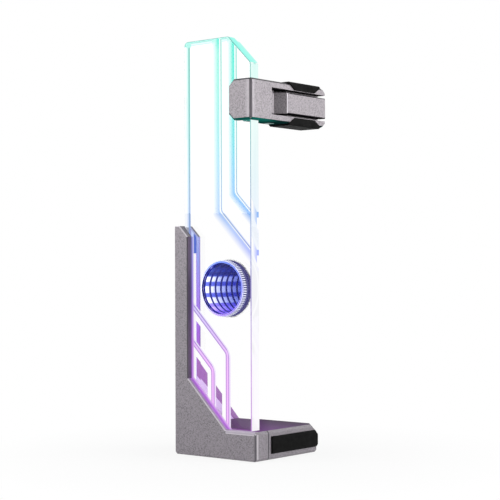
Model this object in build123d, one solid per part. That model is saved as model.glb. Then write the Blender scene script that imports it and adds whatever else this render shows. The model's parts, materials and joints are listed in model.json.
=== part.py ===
from build123d import *
import math
import os

# Graphics card support bracket, in millimetres. +X runs along the light panel towards the foot's end
# face, +Y away from the viewer across the panel, +Z up. The origin is the middle of the foot's underside.

# Foot
foot_width = 57.0
foot_depth = 54.0
foot_height = 15.5
foot_edge = 1.2
foot_wall = 2.4
foot_high_corner = (6.0, 6.3, 5.0)
foot_low_corner = (2.4, 2.4, 2.6)
mat_thickness = 1.0
mat_proud = 0.4
mat_inset = 3.0
mat_corner = 9.0
cover_thickness = 1.8
cover_ledge = 0.8
cover_gap = 0.1

# Column, gusset and web
column_width = 9.5
column_height = 124.5
column_top_flat = 3.6
plate_wall = 3.6
plate_edge = 0.5
spine_wall = 4.3
gusset_rise = 26.1
web_rise = 38.9
web_wall = 4.0
rear_edge = 0.5

# Light panel
panel_width = 46.8
panel_thickness = 7.0
panel_height = 225.0
panel_seat = 5.2
panel_corner = 2.5
panel_top_chamfer = 15.2
panel_bevel = 0.4
groove_width = 5.0
groove_depth = 2.0
groove_bend = 6.0
upper_groove_from_left = 20.4
upper_groove_height = 130.9
upper_groove_step = (10.6, 9.5)
lower_groove_from_left = 16.4
lower_groove_height = 46.2
lower_groove_step = (10.3, 9.2)

# Light strips
strip_thickness = 0.3
strip_width = 5.6
led_height = 0.8
led_size = 3.0
led_pitch = 7.5
strip_end_margin = 6.0
ledge_length = 2.5
light_gap = 0.1

# Ring in the panel
ring_from_panel_left = 28.8
ring_above_foot_base = 90.5
ring_radius = 15.1
ring_window_radius = 13.75
ring_bore_radius = 14.5
ring_proud = 2.9
ring_lip = 1.0
ring_edge = 0.4
ring_fit = 0.05
lens_thickness = 0.8
liner_thickness = 0.4
liner_length = 2.3
mirror_thickness = 0.8
ring_led_count = 14
ring_led_depth = 0.25
ring_led_size = 1.5
ring_strip_thickness = 0.15
cap_flange = 0.6
cap_flange_thickness = 1.2

# Arm
arm_width = 15.7
arm_length = 65.4
arm_height = 21.6
arm_below_panel_top = 23.9
arm_corner = 3.5
arm_end_corner = 2.6
arm_edge = 0.9
jaw_wall = 4.3
jaw_edge_wall = 3.8
slide_gap = 0.2
jaw_liner_thickness = 0.6
jaw_liner_margin = 1.4

# Arm pads
pad_from_arm_front = 32.5
pad_length = 27.7
pad_flap = 3.3
pad_flap_taper = 5.0
pad_proud = 1.0
pad_side_proud = 0.7
pad_recess = 0.6

# Clamp lever, its pin and the shoe that it pushes
slot_from_arm_front = 17.7
slot_height = 14.3
lever_height = 11.3
lever_face_from_arm_front = 31.7
lever_overhang = 0.7
lever_thickness = 4.5
lever_floor_gap = 0.5
lever_swing = 75.0
lever_edge = 0.5
pivot_from_arm_right = 8.9
pivot_from_arm_front = 26.6
pin_radius = 1.5
pin_head_radius = 2.6
pin_head_height = 1.6
pin_fit = 0.02
pin_clearance = 0.05
boss_radius = 2.6
boss_gap = 0.1
cam_radius = 3.8
cam_offset = 0.41
cam_pocket_gap = 0.4
contact_gap = 0.1
shoe_width = 7.2
shoe_height = 10.2
shoe_gap = 0.2
shoe_relief = 2.0
shoe_pad_thickness = 1.0
shoe_from_arm_left = 2.2

# End pad on the foot
end_pad_from_front = 12.8
end_pad_inset = 3.2
end_pad_recess = 0.8
end_pad_proud = 0.9
end_pad_rear_gap = 0.5
end_pad_corner = 2.4
end_pad_edge = 0.3

# Inside the foot and fasteners
magnet_length = 12.0
magnet_depth = 8.0
magnet_height = 4.0
magnet_pitch = 13.5
ballast_width = 40.0
ballast_depth = 17.0
ballast_height = 4.0
ballast_rib = 1.6
cover_screw_radius = 1.2
cover_screw_head_radius = 2.2
cover_screw_head_height = 1.0
cover_screw_length = 7.0
cover_boss = 5.6
cover_screw_inset = 4.2
shell_screw_radius = 0.75
shell_screw_head_radius = 1.3
shell_screw_length = 8.0
shell_screw_from_left = 2.0
shell_screw_heights = (62.0, 112.0)
socket_width = 9.0
socket_height = 5.0
socket_depth = 8.0
socket_wall = 0.8
socket_from_left = 14.0
socket_above_foot_base = 3.0
socket_pins = 3
socket_pin_size = 0.6
board_thickness = 1.0
board_width = 20.0
board_depth = 10.0

# Places worked out from the sizes
left = -foot_width / 2
right = foot_width / 2
front = -foot_depth / 2
back = foot_depth / 2
floor = mat_proud
foot_top = floor + foot_height
column_right = left + column_width
column_top = floor + column_height
column_shoulder = column_top - (column_width - column_top_flat)
panel_left = left + spine_wall
panel_right = panel_left + panel_width
panel_front = front + plate_wall
seam = panel_front + panel_thickness
column_back = seam + plate_wall
panel_bottom = floor + panel_seat
panel_top = floor + panel_height
ring_x = panel_left + ring_from_panel_left
ring_z = floor + ring_above_foot_base
ring_front = panel_front - ring_proud
lens_front = ring_front + ring_lip
lens_back = lens_front + lens_thickness
mirror_front = lens_back + liner_length
mirror_back = mirror_front + mirror_thickness

arm_front = panel_front - slide_gap - jaw_wall
arm_back = arm_front + arm_length
arm_right = panel_right + slide_gap + jaw_edge_wall
arm_left = arm_right - arm_width
arm_top = panel_top - arm_below_panel_top
arm_bottom = arm_top - arm_height
arm_mid = (arm_bottom + arm_top) / 2
slot_start = arm_front + slot_from_arm_front
slot_floor = arm_right - lever_thickness - lever_floor_gap
slot_low = arm_mid - slot_height / 2
slot_high = arm_mid + slot_height / 2
lever_low = arm_mid - lever_height / 2
lever_high = arm_mid + lever_height / 2
lever_face_start = arm_front + lever_face_from_arm_front
lever_end = arm_back + lever_overhang
lever_inner = arm_right - lever_thickness
pivot_x = arm_right - pivot_from_arm_right
pivot_y = arm_front + pivot_from_arm_front
cam_phase = math.radians(lever_swing / 2 - 180)
cam_x = pivot_x + cam_offset * math.cos(cam_phase)
cam_y = pivot_y + cam_offset * math.sin(cam_phase)
shoe_front = seam + contact_gap + shoe_pad_thickness
shoe_back = cam_y - cam_radius - contact_gap
shoe_left = arm_left + shoe_from_arm_left
shoe_right = shoe_left + shoe_width

cavity_left = left + foot_wall
cavity_right = right - foot_wall
cavity_front = seam + foot_wall
cavity_back = back - foot_wall
cavity_top = foot_top - foot_wall
cover_top = floor + cover_thickness
magnet_top = cover_top + magnet_height
ballast_top = magnet_top + ballast_height


def rect(x_low, x_high, y_low, y_high):
    """A rectangle given by its limits."""
    return Pos((x_low + x_high) / 2, (y_low + y_high) / 2) * Rectangle(x_high - x_low, y_high - y_low)


def polygon(*points):
    return make_face(Polyline(*points, close=True))


def across(sketch, y_low, y_high):
    """A solid of an (x, z) sketch, from y_low to y_high."""
    return extrude(Plane.XZ.offset(-y_high) * sketch, amount=y_high - y_low)


def upright(sketch, z_low, z_high):
    """A solid of an (x, y) sketch, from z_low to z_high."""
    return extrude(Plane.XY.offset(z_low) * sketch, amount=z_high - z_low)


def along(sketch, x_low, x_high):
    """A solid of a (y, z) sketch, from x_low to x_high."""
    return extrude(Plane.YZ.offset(x_low) * sketch, amount=x_high - x_low)


def foot_outline():
    """End view of the foot in (x, z), its four corners bevelled."""
    return chamfer(rect(left, right, floor, foot_top).vertices(), foot_edge)


def column_outline():
    """The column's plate in (x, z): a flat top and a slope down to its inner edge."""
    return polygon((left, floor + foot_edge), (left, column_top), (left + column_top_flat, column_top),
                   (column_right, column_shoulder), (column_right, floor + foot_edge))


def gusset_outline():
    """The near gusset in (x, z): a slope from the column down to the foot."""
    run = foot_top - foot_edge
    return polygon((column_right, foot_top + gusset_rise), (column_right + gusset_rise, foot_top),
                   (column_right + gusset_rise, run), (column_right, run))


def strip_on_spine():
    """Recess in the spine that holds the upright light strip."""
    middle = (panel_front + seam) / 2
    half = strip_width / 2 + light_gap
    depth = strip_thickness + led_height + light_gap
    return upright(rect(panel_left - depth, panel_left, middle - half, middle + half),
                   foot_top, column_shoulder - strip_end_margin / 2)


def near_shell():
    """Near half of the housing: plate, gusset, spine and the panel's channel in the foot."""
    plate = across(foot_outline() + column_outline() + gusset_outline(), front, panel_front)
    near_face = plate.faces().sort_by(Axis.Y)[0]
    plate = chamfer(near_face.edges(), plate_edge)
    channel = foot_outline() - rect(panel_left, panel_right, panel_bottom, foot_top + foot_edge)
    spine = column_outline() & rect(left, panel_left, floor, column_top)
    shell = plate + across(channel + spine, panel_front, seam)
    shell -= strip_on_spine()
    floor_strip = strip_thickness + led_height + light_gap
    shell -= across(rect(panel_left + ledge_length, panel_right - ledge_length,
                         panel_bottom - floor_strip, panel_bottom), panel_front, seam)
    for z in shell_screw_heights:
        hole = Pos(left + shell_screw_from_left, floor + z) * Circle(shell_screw_radius)
        shell -= across(hole, seam - shell_screw_length + plate_wall, seam)
    return shell


def corner_cut(z, sizes, down):
    """The piece that a facet takes off the foot's far right corner, at height z."""
    x_size, y_size, z_size = sizes
    facet = polygon((right - x_size, back, z), (right, back - y_size, z), (right, back, z + down * z_size))
    outward = (1 / x_size, 1 / y_size, -down / z_size)
    return extrude(facet, amount=max(sizes), dir=outward)


def foot_box():
    """Outside of the far part of the foot, with a facet at each far right corner."""
    box = across(foot_outline(), seam, back)
    box = chamfer(box.faces().sort_by(Axis.Y)[-1].edges(), foot_edge)
    box -= corner_cut(foot_top, foot_high_corner, -1)
    return box - corner_cut(floor, foot_low_corner, 1)


def cover_screw_places():
    x = cavity_right - cover_screw_inset + cover_ledge
    y_low = cavity_front + cover_screw_inset - cover_ledge
    y_high = cavity_back - cover_screw_inset + cover_ledge
    return [(sign * x, y) for sign in (-1, 1) for y in (y_low, y_high)]


def end_pad_outline(gap):
    """The end pad in (y, z), its rear corners cut."""
    low = floor + end_pad_inset - gap
    high = foot_top - end_pad_inset + gap
    y_low = front + end_pad_from_front - gap
    y_high = back - end_pad_rear_gap + gap
    return polygon((y_low, low), (y_high - end_pad_corner / 2, low), (y_high, low + end_pad_corner / 2),
                   (y_high, high - end_pad_corner), (y_high - end_pad_corner, high), (y_low, high))


def far_shell():
    """Far half of the housing: the hollow foot, the far column plate and the back web."""
    cavity = rect(cavity_left, cavity_right, cavity_front, cavity_back)
    recess = rect(cavity_left - cover_ledge, cavity_right + cover_ledge,
                  cavity_front - cover_ledge, cavity_back + cover_ledge)
    foot = foot_box() - upright(cavity, floor, cavity_top) - upright(recess, floor, cover_top)
    column = across(column_outline() & rect(left, column_right, foot_top - foot_edge, column_top),
                    seam, column_back)
    far_face = column.faces().sort_by(Axis.Y)[-1]
    column = chamfer(far_face.edges(), rear_edge)
    web = polygon((column_back, foot_top + web_rise), (column_back + web_rise, foot_top),
                  (column_back + web_rise, foot_top - foot_edge), (column_back, foot_top - foot_edge))
    shell = foot + column + along(web, left, left + web_wall)
    for x, y in cover_screw_places():
        post = Pos(x, y) * (Rectangle(cover_boss, cover_boss) - Circle(cover_screw_radius))
        shell += upright(post & cavity, cover_top, cavity_top)
    for sign in (-1, 1):
        middle = sign * ballast_width / 4
        rib = rect(middle - ballast_rib / 2, middle + ballast_rib / 2, cavity_front, cavity_back)
        shell += upright(rib, ballast_top, cavity_top)
    for z in shell_screw_heights:
        place = Pos(left + shell_screw_from_left, floor + z)
        shell -= across(place * Circle(shell_screw_radius), seam, column_back)
        shell -= across(place * Circle(shell_screw_head_radius), column_back - shell_screw_head_radius,
                        column_back)
    shell -= along(end_pad_outline(0), right - end_pad_recess, right)
    shell -= across(socket_face(0), cavity_back, back)
    return shell


def socket_face(gap):
    """The inlet's outline in (x, z), low in the foot's rear wall."""
    x = left + socket_from_left
    z = floor + socket_above_foot_base + socket_height / 2
    return Pos(x, z) * Rectangle(socket_width - 2 * gap, socket_height - 2 * gap)


def power_socket():
    """Inlet for the light's lead, with three contact pins in a recess."""
    body = across(socket_face(0), back - socket_depth, back - end_pad_rear_gap)
    mouth = across(offset(socket_face(0), -socket_wall), back - socket_depth / 2, back)
    socket = body - mouth
    x = left + socket_from_left
    z = floor + socket_above_foot_base + socket_height / 2
    pitch = (socket_width - 2 * socket_wall) / socket_pins
    for number in range(socket_pins):
        place = Pos(x + (number - (socket_pins - 1) / 2) * pitch, z)
        pin = place * Rectangle(socket_pin_size, socket_pin_size)
        socket += across(pin, back - socket_depth / 2, back - 2 * end_pad_rear_gap)
    return socket


def control_board():
    """Board under the inlet, which is soldered to it."""
    x_low = left + socket_from_left - socket_width / 2
    outline = rect(x_low, x_low + board_width, cavity_back - board_depth, cavity_back)
    top = floor + socket_above_foot_base
    return upright(outline, top - board_thickness, top)


def bottom_cover():
    outline = rect(cavity_left - cover_ledge + cover_gap, cavity_right + cover_ledge - cover_gap,
                   cavity_front - cover_ledge + cover_gap, cavity_back + cover_ledge - cover_gap)
    plate = upright(outline, floor, cover_top)
    plate -= upright(mat_outline(), floor, floor + mat_thickness - mat_proud)
    for x, y in cover_screw_places():
        plate -= upright(Pos(x, y) * Circle(cover_screw_radius), floor, cover_top)
        plate -= upright(Pos(x, y) * Circle(cover_screw_head_radius), floor, floor + cover_screw_head_height)
    return plate


def mat_outline():
    """The mat's outline in (x, y), with corners cut back to clear the screws."""
    outline = rect(cavity_left + mat_inset, cavity_right - mat_inset,
                   cavity_front + mat_inset / 2, cavity_back - mat_inset / 2)
    return chamfer(outline.vertices(), mat_corner)


def base_mat():
    return upright(mat_outline(), 0, mat_thickness)


def bottom_screws():
    """Four cap screws with hexagon sockets, their heads sunk into the cover."""
    screws = []
    for x, y in cover_screw_places():
        place = Pos(x, y)
        head_top = floor + cover_screw_head_height
        head = upright(place * Circle(cover_screw_head_radius), floor, head_top)
        shank = upright(place * Circle(cover_screw_radius), head_top, floor + cover_screw_length)
        drive = upright(place * RegularPolygon(cover_screw_radius, 6),
                        floor, floor + cover_screw_head_height / 2)
        screws.append(head + shank - drive)
    return Compound(screws)


def shell_screws():
    """Screws that draw the far shell onto the near one."""
    screws = []
    for z in shell_screw_heights:
        place = Pos(left + shell_screw_from_left, floor + z)
        tip = seam - shell_screw_length + plate_wall
        shank = across(place * Circle(shell_screw_radius), tip, column_back - rear_edge)
        head = across(place * Circle(shell_screw_head_radius), column_back - shell_screw_head_radius,
                      column_back - rear_edge)
        drive = across(place * RegularPolygon(shell_screw_radius, 6),
                       column_back - shell_screw_head_radius + rear_edge / 2, column_back)
        screws.append(shank + head - drive)
    return Compound(screws)


def foot_magnets():
    """Block magnets that lie on the cover."""
    y = (cavity_front + cavity_back) / 2 - board_depth / 2
    block = Rectangle(magnet_length, magnet_depth)
    return Compound([upright(Pos(number * magnet_pitch, y) * block, cover_top, magnet_top)
                     for number in (-1, 0, 1)])


def ballast_plate():
    y = (cavity_front + cavity_back) / 2 - board_depth / 2
    outline = Pos(0, y) * RectangleRounded(ballast_width, ballast_depth, ballast_rib)
    return upright(outline, magnet_top, ballast_top)


def end_pad():
    pad = along(end_pad_outline(0), right - end_pad_recess, right + end_pad_proud)
    outer_face = pad.faces().sort_by(Axis.X)[-1]
    return chamfer(outer_face.edges(), end_pad_edge)


def panel_outline():
    """The light panel in (x, z): round top left corner, cut top right corner."""
    outline = polygon((panel_left, panel_bottom), (panel_left, panel_top),
                      (panel_right - panel_top_chamfer, panel_top),
                      (panel_right, panel_top - panel_top_chamfer), (panel_right, panel_bottom))
    top_corners = outline.vertices().filter_by(lambda v: v.Y > column_top)
    return fillet(top_corners, panel_corner)


def groove(*points):
    """A routed groove in (x, z) that follows the points with rounded bends."""
    return trace(FilletPolyline(*points, radius=groove_bend), line_width=groove_width)


def panel_grooves():
    """Two grooves from the top edge out to the right, two from the foot up to the spine."""
    over = groove_width
    grooves = Sketch()
    for number in (0, 1):
        x = panel_left + upper_groove_from_left + number * upper_groove_step[0]
        z = floor + upper_groove_height + number * upper_groove_step[1]
        run = panel_right - x + over
        grooves += groove((x, panel_top + over), (x, z), (x + run, z - run))
        x = panel_left + lower_groove_from_left + number * lower_groove_step[0]
        z = floor + lower_groove_height + number * lower_groove_step[1]
        run = x - panel_left + over
        grooves += groove((x, panel_bottom - over), (x, z), (x - run, z + run))
    return grooves


def light_panel():
    """Clear panel with a hole for the ring and grooves in its far face."""
    panel = across(panel_outline(), panel_front, seam)
    faces = panel.faces().sort_by(Axis.Y)
    panel = chamfer(faces[0].edges() + faces[-1].edges(), panel_bevel)
    panel -= across(panel_grooves(), seam - groove_depth, seam)
    hole = Pos(ring_x, ring_z) * Circle(ring_radius + ring_fit)
    return panel - across(hole, panel_front, seam)


def ring_turned(*profile):
    """A turned part of the ring: profile points are (radius, y)."""
    return Pos(ring_x, 0, ring_z) * revolve(polygon(*profile), Axis.Y)


def ring_bezel():
    """Metal ring that stands out of the panel, with a front lip that holds the window."""
    return ring_turned((ring_window_radius, ring_front), (ring_radius - ring_edge, ring_front),
                       (ring_radius, ring_front + ring_edge), (ring_radius, seam),
                       (ring_bore_radius, seam), (ring_bore_radius, lens_front),
                       (ring_window_radius, lens_front))


def ring_lens():
    radius = ring_bore_radius - ring_fit
    return ring_turned((0, lens_front), (radius, lens_front), (radius, lens_back), (0, lens_back))


def ring_liner():
    """Light guide that keeps the window and the mirror apart."""
    outer = ring_bore_radius - ring_strip_thickness - ring_led_depth - 3 * ring_fit
    inner = outer - liner_thickness
    return ring_turned((inner, lens_back), (outer, lens_back), (outer, mirror_front), (inner, mirror_front))


def ring_mirror():
    radius = ring_bore_radius - ring_fit
    return ring_turned((0, mirror_front), (radius, mirror_front), (radius, mirror_back), (0, mirror_back))


def ring_strip():
    """Flexible strip round the liner, which the ring's light pieces are soldered to."""
    outer = ring_bore_radius - ring_fit
    inner = outer - ring_strip_thickness
    return ring_turned((inner, lens_back), (outer, lens_back), (outer, mirror_front), (inner, mirror_front))


def ring_leds():
    y_mid = (lens_back + mirror_front) / 2
    radius = ring_bore_radius - 2 * ring_fit - ring_strip_thickness - ring_led_depth / 2
    piece = Box(ring_led_depth, ring_led_size, ring_led_size)
    leds = []
    for number in range(ring_led_count):
        turn = Pos(ring_x, y_mid, ring_z) * Rot(Y=360 * number / ring_led_count) * Pos(radius, 0, 0)
        leds.append(turn * piece)
    return Compound(leds)


def ring_cap():
    """Cap that closes the ring from behind and holds it in the panel."""
    radius = ring_bore_radius - ring_fit
    flange = ring_radius + cap_flange
    cap_back = seam + cap_flange_thickness
    return ring_turned((0, mirror_back), (radius, mirror_back), (radius, seam), (flange, seam),
                       (flange, cap_back), (0, cap_back))


def spine_strip_limits():
    return foot_top + light_gap, column_shoulder - strip_end_margin


def spine_strip():
    middle = (panel_front + seam) / 2
    x_low = panel_left - strip_thickness - led_height - light_gap
    outline = rect(x_low, x_low + strip_thickness, middle - strip_width / 2, middle + strip_width / 2)
    return upright(outline, *spine_strip_limits())


def led_places(low, high):
    """Middles of the light pieces that fit between two limits at the strip's pitch."""
    count = int((high - low - led_size) / led_pitch) + 1
    start = (low + high - (count - 1) * led_pitch) / 2
    return [start + number * led_pitch for number in range(count)]


def spine_leds():
    middle = (panel_front + seam) / 2
    x_low = panel_left - led_height - light_gap
    half = led_size / 2
    face = rect(x_low, x_low + led_height, middle - half, middle + half)
    return Compound([upright(face, z - half, z + half) for z in led_places(*spine_strip_limits())])


def foot_strip():
    low = panel_bottom - strip_thickness - led_height - light_gap
    middle = (panel_front + seam) / 2
    outline = rect(panel_left + ledge_length + light_gap, panel_right - ledge_length - light_gap,
                   middle - strip_width / 2, middle + strip_width / 2)
    return upright(outline, low, low + strip_thickness)


def foot_leds():
    low = panel_bottom - led_height - light_gap
    middle = (panel_front + seam) / 2
    half = led_size / 2
    places = led_places(panel_left + ledge_length, panel_right - ledge_length)
    return Compound([upright(rect(x - half, x + half, middle - half, middle + half), low, low + led_height)
                     for x in places])


def arm_block():
    """Outside of the arm: cut corners along its left side and at its far end."""
    profile = rect(arm_left, arm_right, arm_bottom, arm_top)
    profile = chamfer(profile.vertices().group_by(Axis.X)[0], arm_corner)
    profile = chamfer(profile.vertices().group_by(Axis.X)[-1], arm_edge)
    side = rect(arm_front, arm_back, arm_bottom, arm_top)
    side = chamfer(side.vertices().group_by(Axis.X)[-1], arm_end_corner)
    block = across(profile, arm_front, arm_back) & along(side, arm_left, arm_right)
    near_face = block.faces().sort_by(Axis.Y)[0]
    return chamfer(near_face.edges(), arm_edge)


def pad_shape(top):
    """A saddle pad in (y, z), wide on the arm and narrowing down its sides."""
    y_low = arm_front + pad_from_arm_front
    y_high = y_low + pad_length
    edge, sign = (arm_top, 1) if top else (arm_bottom, -1)
    return polygon((y_low, edge + sign * pad_proud), (y_high, edge + sign * pad_proud),
                   (y_high, edge), (y_high - pad_flap_taper, edge - sign * pad_flap),
                   (y_low + pad_flap_taper, edge - sign * pad_flap), (y_low, edge))


def arm_profile(grow_x, grow_z):
    """The arm's section in (x, z), grown or shrunk."""
    profile = rect(arm_left - grow_x, arm_right + grow_x, arm_bottom - grow_z, arm_top + grow_z)
    profile = chamfer(profile.vertices().group_by(Axis.X)[0], arm_corner)
    return chamfer(profile.vertices().group_by(Axis.X)[-1], arm_edge)


def arm_pad(top):
    """Rubber saddle let into the arm, a little proud of it."""
    y_low = arm_front + pad_from_arm_front
    ring = arm_profile(pad_side_proud, pad_proud) - arm_profile(-pad_recess, -pad_recess)
    saddle = across(ring, y_low, y_low + pad_length)
    return saddle & along(pad_shape(top), arm_left - pad_side_proud, arm_right + pad_side_proud)


def lever_recess():
    """Space in the arm for the lever, in (x, y)."""
    gap = cam_pocket_gap
    pocket = cam_radius + cam_offset + gap
    reach = arm_right + lever_overhang
    neck = pocket * math.sqrt(0.5)
    slope = slot_floor - (pivot_x - neck)
    slot = polygon((reach, slot_start), (reach, lever_end), (slot_floor, lever_end),
                   (slot_floor, pivot_y + neck + slope), (pivot_x - neck, pivot_y + neck),
                   (pivot_x, pivot_y), (shoe_right + shoe_gap, slot_start))
    return slot + Pos(pivot_x, pivot_y) * Circle(pocket)


def arm_body():
    """Metal arm: jaw round the panel's edge, slot for the lever and channel for the shoe."""
    arm = arm_block()
    jaw = rect(arm_left, panel_right + slide_gap, panel_front - slide_gap, seam + slide_gap)
    arm -= upright(jaw, arm_bottom, arm_top)
    arm -= upright(lever_recess(), slot_low, slot_high)
    channel = rect(shoe_left - shoe_gap, shoe_right + shoe_gap, seam, pivot_y)
    half = shoe_height / 2 + shoe_gap
    arm -= upright(channel, arm_mid - half, arm_mid + half)
    bore = Pos(pivot_x, pivot_y) * Circle(pin_radius + pin_fit)
    arm -= upright(bore, arm_bottom, slot_high + pin_head_height)
    head = Pos(pivot_x, pivot_y) * Circle(pin_head_radius + pin_fit)
    arm -= upright(head, arm_bottom, arm_bottom + pin_head_height)
    arm -= jaw_liner()
    return arm - arm_pad(True) - arm_pad(False)


def jaw_liner():
    """Thin liner let into the jaw's near wall."""
    outline = rect(arm_left + jaw_liner_margin, panel_right - jaw_liner_margin,
                   panel_front - slide_gap - jaw_liner_thickness, panel_front - slide_gap)
    half = arm_height / 2 - arm_corner - jaw_liner_margin
    return upright(outline, arm_mid - half, arm_mid + half)


def lever_outline():
    """The lever in (x, y): round cam head, neck, and a flat bar that closes the slot."""
    ramp = arm_right - (cam_x + cam_radius)
    neck = cam_radius * math.sqrt(0.5)
    bar = polygon((cam_x + cam_radius, lever_face_start - ramp), (arm_right, lever_face_start),
                  (arm_right, lever_end), (lever_inner, lever_end),
                  (lever_inner, cam_y + neck + lever_inner - (cam_x - neck)), (cam_x - neck, cam_y + neck),
                  (cam_x, cam_y))
    return bar + Pos(cam_x, cam_y) * Circle(cam_radius)


def clamp_lever():
    lever = upright(lever_outline(), lever_low, lever_high)
    outer = lever.faces().sort_by(Axis.X)[-1]
    lever = chamfer(outer.edges(), lever_edge)
    boss = Pos(pivot_x, pivot_y) * Circle(boss_radius)
    lever += upright(boss, slot_low + boss_gap, slot_high - boss_gap)
    bore = Pos(pivot_x, pivot_y) * Circle(pin_radius + pin_clearance)
    return lever - upright(bore, slot_low, slot_high)


def lever_pin():
    """Shoulder screw that the lever turns on, put in from below."""
    shank = upright(Pos(pivot_x, pivot_y) * Circle(pin_radius), arm_bottom, slot_high + pin_head_height)
    head = upright(Pos(pivot_x, pivot_y) * Circle(pin_head_radius), arm_bottom,
                   arm_bottom + pin_head_height)
    drive = upright(Pos(pivot_x, pivot_y) * RegularPolygon(pin_radius, 6), arm_bottom,
                    arm_bottom + pin_head_height / 2)
    return shank + head - drive


def pressure_shoe():
    """Block that the cam pushes along its channel, relieved where the open lever passes."""
    outline = polygon((shoe_left, shoe_front), (shoe_right, shoe_front),
                      (shoe_right, shoe_back - shoe_relief), (shoe_right - shoe_relief, shoe_back),
                      (shoe_left, shoe_back))
    return upright(outline, arm_mid - shoe_height / 2, arm_mid + shoe_height / 2)


def shoe_pad():
    outline = rect(shoe_left, shoe_right, seam + contact_gap, shoe_front)
    pad = upright(outline, arm_mid - shoe_height / 2, arm_mid + shoe_height / 2)
    return pad


nodes = {
    "near_shell": near_shell(),
    "far_shell": far_shell(),
    "bottom_cover": bottom_cover(),
    "base_mat": base_mat(),
    "bottom_screws": bottom_screws(),
    "shell_screws": shell_screws(),
    "foot_magnets": foot_magnets(),
    "ballast_plate": ballast_plate(),
    "end_pad": end_pad(),
    "power_socket": power_socket(),
    "control_board": control_board(),
    "light_panel": light_panel(),
    "spine_strip": spine_strip(),
    "spine_leds": spine_leds(),
    "foot_strip": foot_strip(),
    "foot_leds": foot_leds(),
    "ring_bezel": ring_bezel(),
    "ring_lens": ring_lens(),
    "ring_liner": ring_liner(),
    "ring_mirror": ring_mirror(),
    "ring_strip": ring_strip(),
    "ring_leds": ring_leds(),
    "ring_cap": ring_cap(),
    "arm_body": arm_body(),
    "jaw_liner": jaw_liner(),
    "arm_top_pad": arm_pad(True),
    "arm_bottom_pad": arm_pad(False),
    "clamp_lever": clamp_lever(),
    "lever_pin": lever_pin(),
    "pressure_shoe": pressure_shoe(),
    "shoe_pad": shoe_pad(),
}

os.makedirs("parts", exist_ok=True)
for name, solid in nodes.items():
    export_step(solid, f"parts/{name}.step")
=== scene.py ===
import json
import math
import bpy
from mathutils import Matrix, Vector


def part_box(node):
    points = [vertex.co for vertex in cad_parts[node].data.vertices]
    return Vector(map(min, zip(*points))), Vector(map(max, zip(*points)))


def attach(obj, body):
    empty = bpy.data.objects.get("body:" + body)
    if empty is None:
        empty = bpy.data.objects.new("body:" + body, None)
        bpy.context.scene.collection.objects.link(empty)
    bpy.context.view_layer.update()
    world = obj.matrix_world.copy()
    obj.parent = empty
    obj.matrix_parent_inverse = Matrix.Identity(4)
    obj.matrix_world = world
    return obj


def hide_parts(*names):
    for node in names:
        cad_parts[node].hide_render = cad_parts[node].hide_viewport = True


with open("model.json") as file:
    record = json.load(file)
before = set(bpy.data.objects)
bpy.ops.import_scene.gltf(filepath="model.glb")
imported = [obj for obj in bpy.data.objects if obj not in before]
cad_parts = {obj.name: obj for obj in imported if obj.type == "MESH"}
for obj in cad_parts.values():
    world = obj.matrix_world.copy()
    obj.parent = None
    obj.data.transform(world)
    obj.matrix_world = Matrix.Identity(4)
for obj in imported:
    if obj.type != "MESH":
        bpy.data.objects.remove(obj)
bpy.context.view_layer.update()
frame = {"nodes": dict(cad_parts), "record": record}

scene = bpy.context.scene
MM = 0.001

# Camera, from the photograph's own perspective
camera_place = Vector((0.4813, -0.5874, 0.1012))
camera_direction = Vector((-0.632, 0.774, 0.0))
camera_roll = math.radians(-0.2)
photo_width = 500
focal_pixels = 1382
horizon_drop = 19.2
axis_shift = -1.7
sensor_width = 36.0

# Sizes that the frame's boxes don't give, in millimetres
mat_proud = 0.4
foot_height = 15.5
column_width = 9.5
gusset_rise = 26.1

# Places read from the frame
panel_low, panel_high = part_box("light_panel")
left, right = panel_low.x / MM, panel_high.x / MM
front, back = panel_low.y / MM, panel_high.y / MM
top = panel_high.z / MM
foot_low, foot_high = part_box("near_shell")
foot_front, foot_right = foot_low.y / MM, foot_high.x / MM
foot_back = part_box("far_shell")[1].y / MM
foot_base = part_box("base_mat")[0].z / MM + mat_proud
foot_top = foot_base + foot_height
column_right = foot_low.x / MM + column_width
gusset_end = column_right + gusset_rise
gusset_line = column_right + foot_top + gusset_rise
arm_low, arm_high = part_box("arm_body")
arm_front, arm_right, arm_base = arm_low.y / MM, arm_high.x / MM, arm_low.z / MM
arm_middle = (arm_low.z + arm_high.z) / 2 / MM
ring_low, ring_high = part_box("ring_bezel")
ring_middle = (ring_low + ring_high) / 2
ring_radius = (ring_high.x - ring_low.x) / 2 / MM
ring_front, ring_back = ring_low.y / MM, ring_high.y / MM
liner_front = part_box("ring_liner")[0].y / MM
lens_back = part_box("ring_lens")[1].y / MM

# Shares of a face's normal along an axis: square to that axis, sloping, and on a bevel
square, sloped, bevelled = 0.9, 0.5, 0.4

# How close to a plane a point counts as in it, and where the colours by height end
in_plane = 0.05
ramp_height = 240

# Heights where the light on the housing changes, and where it ends on the panel beside it
column_top_from = foot_top + 60
far_edge_from = foot_top + 40
panel_light_top = 119

# Light between the column's plates: where its dark, pale and bright parts end or start from the panel's
# left, and the height where it turns blue
spine_dark, spine_pale, spine_bright = 1.4, 3.2, 4.9
spine_blue_from = 110.0

# Painted pale band of light across the web: its slope over depth, its start, full and end, and its step on
# the far plate
light_band_slope = 0.873
light_band_from, light_band_full, light_band_to = 20.0, 24.0, 28.7
light_band_step = 5.9
far_plate_from = back + 3.7

# Glow on the foot's top: the slope of its edge and how soft that edge is
foot_glow_slope = 0.817
foot_glow_blur = 8

# Painted highlight lines on the lever: from the arm's front, and half the width
lever_highlights = ((17.95, 0.3), (31.6, 0.35))


def colour(red, green, blue):
    """A colour given as screen values from 0 to 255, as the linear values that shaders take."""
    def linear(value):
        share = value / 255
        return share / 12.92 if share <= 0.04045 else ((share + 0.055) / 1.055) ** 2.4
    return (linear(red), linear(green), linear(blue), 1.0)


def grey(value):
    """A grey given as a linear value."""
    return (value, value, value, 1.0)


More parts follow.
